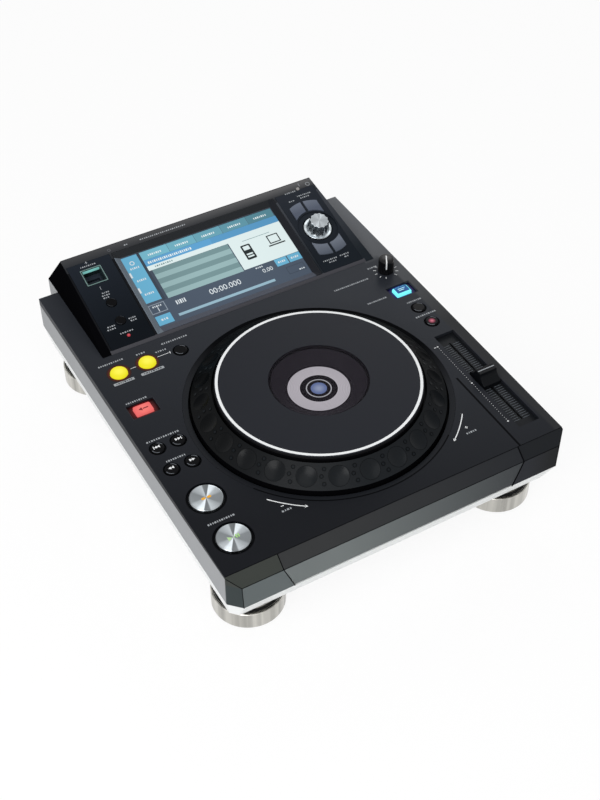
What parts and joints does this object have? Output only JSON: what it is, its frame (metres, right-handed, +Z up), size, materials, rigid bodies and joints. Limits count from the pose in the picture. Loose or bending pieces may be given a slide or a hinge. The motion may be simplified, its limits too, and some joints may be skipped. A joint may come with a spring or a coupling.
{
  "type": "dj media player",
  "caption": "Table-top media player for disc jockeys with a dimpled jog wheel, tempo fader, lit transport and loop buttons, a tilted touch screen and sockets at the back.",
  "frame": {"origin": "middle of the footprint, on the surface that the feet stand on", "axes": "+X to the right of the person who plays it, +Y towards the back, +Z up"},
  "size_m": [0.306, 0.389, 0.1133],
  "materials": {
    "case_black": "fine satin texture",
    "gloss_black": "gloss",
    "case_silver": "satin",
    "front_grey": "satin gloss",
    "well_black": "satin",
    "bearing_white": "smooth",
    "jog_label": "printed and lit",
    "jog_rubber_black": "satin",
    "jog_top": "fine brushed satin",
    "clear_window": "clear",
    "screen_grey": "satin",
    "screen_glass": "lit screen",
    "lit_frame": "lit",
    "socket_metal": "bright",
    "lamp_red": "lit",
    "rear_black": "fine texture",
    "fader_grey": "satin",
    "fader_steel": "plain",
    "cap_black": "fine texture",
    "board_green": "lacquer",
    "foot_black": "matte",
    "foot_silver": "brushed",
    "screw_steel": "plain",
    "selector_metal": "polished",
    "key_disc": "brushed disc",
    "loop_yellow": "lit",
    "reverse_red": "lit",
    "mode_blue": "lit",
    "key_black": "satin",
    "browse_grey": "satin"
  },
  "bodies": {
    "case": {"bottom_pan": "case_silver", "side_panel_left": "case_silver", "side_panel_right": "case_silver", "top_cover": "case_black", "front_apron": "front_grey", "front_corner_left": "front_grey", "front_corner_right": "front_grey", "jog_well": "well_black", "jog_bearing": "bearing_white", "jog_display": "jog_label", "display_housing": "gloss_black", "screen_frame": "screen_grey", "touch_screen": "screen_glass", "usb_panel": "gloss_black", "selector_panel": "gloss_black", "usb_light_frame": "lit_frame", "usb_socket": "socket_metal", "indicator_lamps": "lamp_red", "rear_panel": "rear_black", "ac_inlet": "rear_black", "lan_jack": "socket_metal", "usb_b_jack": "socket_metal", "rca_jacks": "socket_metal", "fader_plate": "fader_grey", "fader_unit": "fader_steel", "key_boards": "board_green", "main_board": "board_green", "power_board": "board_green", "foot_posts": "foot_black", "foot_rings": "foot_silver", "foot_pads": "foot_black", "case_screws": "screw_steel"},
    "jog": {"jog_ring": "jog_rubber_black", "jog_plate": "jog_top", "jog_window": "clear_window"},
    "selector_shaft": {"selector_shaft": "selector_metal"},
    "selector_knob": {"selector_knob": "selector_metal"},
    "speed_knob": {"vinyl_speed_knob": "cap_black"},
    "tempo_fader": {"tempo_fader_lever": "fader_steel", "tempo_fader_cap": "cap_black"},
    "power_switch": {"power_switch": "rear_black"},
    "play_button": {"play_button": "key_disc"},
    "cue_button": {"cue_button": "key_disc"},
    "loop_in_button": {"loop_in_button": "loop_yellow"},
    "loop_out_button": {"loop_out_button": "loop_yellow"},
    "reloop_button": {"reloop_button": "key_black"},
    "reverse_button": {"reverse_button": "reverse_red"},
    "track_back_button": {"track_back_button": "key_black"},
    "track_forward_button": {"track_forward_button": "key_black"},
    "search_back_button": {"search_back_button": "key_black"},
    "search_forward_button": {"search_forward_button": "key_black"},
    "jog_mode_button": {"jog_mode_button": "mode_blue"},
    "tempo_range_button": {"tempo_range_button": "key_black"},
    "master_tempo_button": {"master_tempo_button": "key_black"},
    "back_button": {"back_button": "browse_grey"},
    "tag_button": {"tag_button": "browse_grey"},
    "filter_button": {"filter_button": "browse_grey"},
    "shortcut_button": {"shortcut_button": "browse_grey"},
    "usb_stop_button": {"usb_stop_button": "key_black"},
    "time_mode_button": {"time_mode_button": "key_black"}
  },
  "joints": [
    {"name": "jog_turn", "type": "hinge", "parent": "case", "child": "jog", "pos_m": [0, -0.05765, 0.0845], "axis": [0, 0, 1], "continuous": true},
    {"name": "selector_push", "type": "slide", "parent": "case", "child": "selector_shaft", "axis": [0, 0.2605, -0.9655], "range_m": [0, 0.001], "stiffness_N_per_m": 600, "springref_m": -0.001},
    {"name": "selector_turn", "type": "hinge", "parent": "selector_shaft", "child": "selector_knob", "pos_m": [0.10475, 0.12339, 0.09869], "axis": [0, -0.2605, 0.9655], "continuous": true},
    {"name": "speed_knob_turn", "type": "hinge", "parent": "case", "child": "speed_knob", "pos_m": [0.1353, 0.05325, 0.0845], "axis": [0, 0, 1], "range_deg": [-300, 0]},
    {"name": "tempo_slide", "type": "slide", "parent": "case", "child": "tempo_fader", "axis": [0, 1, 0], "range_m": [-0.05, 0.05]},
    {"name": "power_push", "type": "slide", "parent": "case", "child": "power_switch", "axis": [0, -1, 0], "range_m": [0, 0.002], "stiffness_N_per_m": 300, "springref_m": -0.001},
    {"name": "play_press", "type": "slide", "parent": "case", "child": "play_button", "axis": [0, 0, -1], "range_m": [0, 0.001], "stiffness_N_per_m": 300, "springref_m": -0.001},
    {"name": "cue_press", "type": "slide", "parent": "case", "child": "cue_button", "axis": [0, 0, -1], "range_m": [0, 0.001], "stiffness_N_per_m": 300, "springref_m": -0.001},
    {"name": "loop_in_press", "type": "slide", "parent": "case", "child": "loop_in_button", "axis": [0, 0, -1], "range_m": [0, 0.001], "stiffness_N_per_m": 300, "springref_m": -0.001},
    {"name": "loop_out_press", "type": "slide", "parent": "case", "child": "loop_out_button", "axis": [0, 0, -1], "range_m": [0, 0.001], "stiffness_N_per_m": 300, "springref_m": -0.001},
    {"name": "reloop_press", "type": "slide", "parent": "case", "child": "reloop_button", "axis": [0, 0, -1], "range_m": [0, 0.001], "stiffness_N_per_m": 300, "springref_m": -0.001},
    {"name": "reverse_press", "type": "slide", "parent": "case", "child": "reverse_button", "axis": [0, 0, -1], "range_m": [0, 0.001], "stiffness_N_per_m": 300, "springref_m": -0.001},
    {"name": "track_back_press", "type": "slide", "parent": "case", "child": "track_back_button", "axis": [0, 0, -1], "range_m": [0, 0.001], "stiffness_N_per_m": 300, "springref_m": -0.001},
    {"name": "track_forward_press", "type": "slide", "parent": "case", "child": "track_forward_button", "axis": [0, 0, -1], "range_m": [0, 0.001], "stiffness_N_per_m": 300, "springref_m": -0.001},
    {"name": "search_back_press", "type": "slide", "parent": "case", "child": "search_back_button", "axis": [0, 0, -1], "range_m": [0, 0.001], "stiffness_N_per_m": 300, "springref_m": -0.001},
    {"name": "search_forward_press", "type": "slide", "parent": "case", "child": "search_forward_button", "axis": [0, 0, -1], "range_m": [0, 0.001], "stiffness_N_per_m": 300, "springref_m": -0.001},
    {"name": "jog_mode_press", "type": "slide", "parent": "case", "child": "jog_mode_button", "axis": [0, 0, -1], "range_m": [0, 0.001], "stiffness_N_per_m": 300, "springref_m": -0.001},
    {"name": "tempo_range_press", "type": "slide", "parent": "case", "child": "tempo_range_button", "axis": [0, 0, -1], "range_m": [0, 0.001], "stiffness_N_per_m": 300, "springref_m": -0.001},
    {"name": "master_tempo_press", "type": "slide", "parent": "case", "child": "master_tempo_button", "axis": [0, 0, -1], "range_m": [0, 0.001], "stiffness_N_per_m": 300, "springref_m": -0.001},
    {"name": "back_press", "type": "slide", "parent": "case", "child": "back_button", "axis": [0, 0.2605, -0.9655], "range_m": [0, 0.001], "stiffness_N_per_m": 300, "springref_m": -0.001},
    {"name": "tag_press", "type": "slide", "parent": "case", "child": "tag_button", "axis": [0, 0.2605, -0.9655], "range_m": [0, 0.001], "stiffness_N_per_m": 300, "springref_m": -0.001},
    {"name": "filter_press", "type": "slide", "parent": "case", "child": "filter_button", "axis": [0, 0.2605, -0.9655], "range_m": [0, 0.001], "stiffness_N_per_m": 300, "springref_m": -0.001},
    {"name": "shortcut_press", "type": "slide", "parent": "case", "child": "shortcut_button", "axis": [0, 0.2605, -0.9655], "range_m": [0, 0.001], "stiffness_N_per_m": 300, "springref_m": -0.001},
    {"name": "usb_stop_press", "type": "slide", "parent": "case", "child": "usb_stop_button", "axis": [0, 0.2605, -0.9655], "range_m": [0, 0.001], "stiffness_N_per_m": 300, "springref_m": -0.001},
    {"name": "time_mode_press", "type": "slide", "parent": "case", "child": "time_mode_button", "axis": [0, 0.2605, -0.9655], "range_m": [0, 0.001], "stiffness_N_per_m": 300, "springref_m": -0.001}
  ]
}
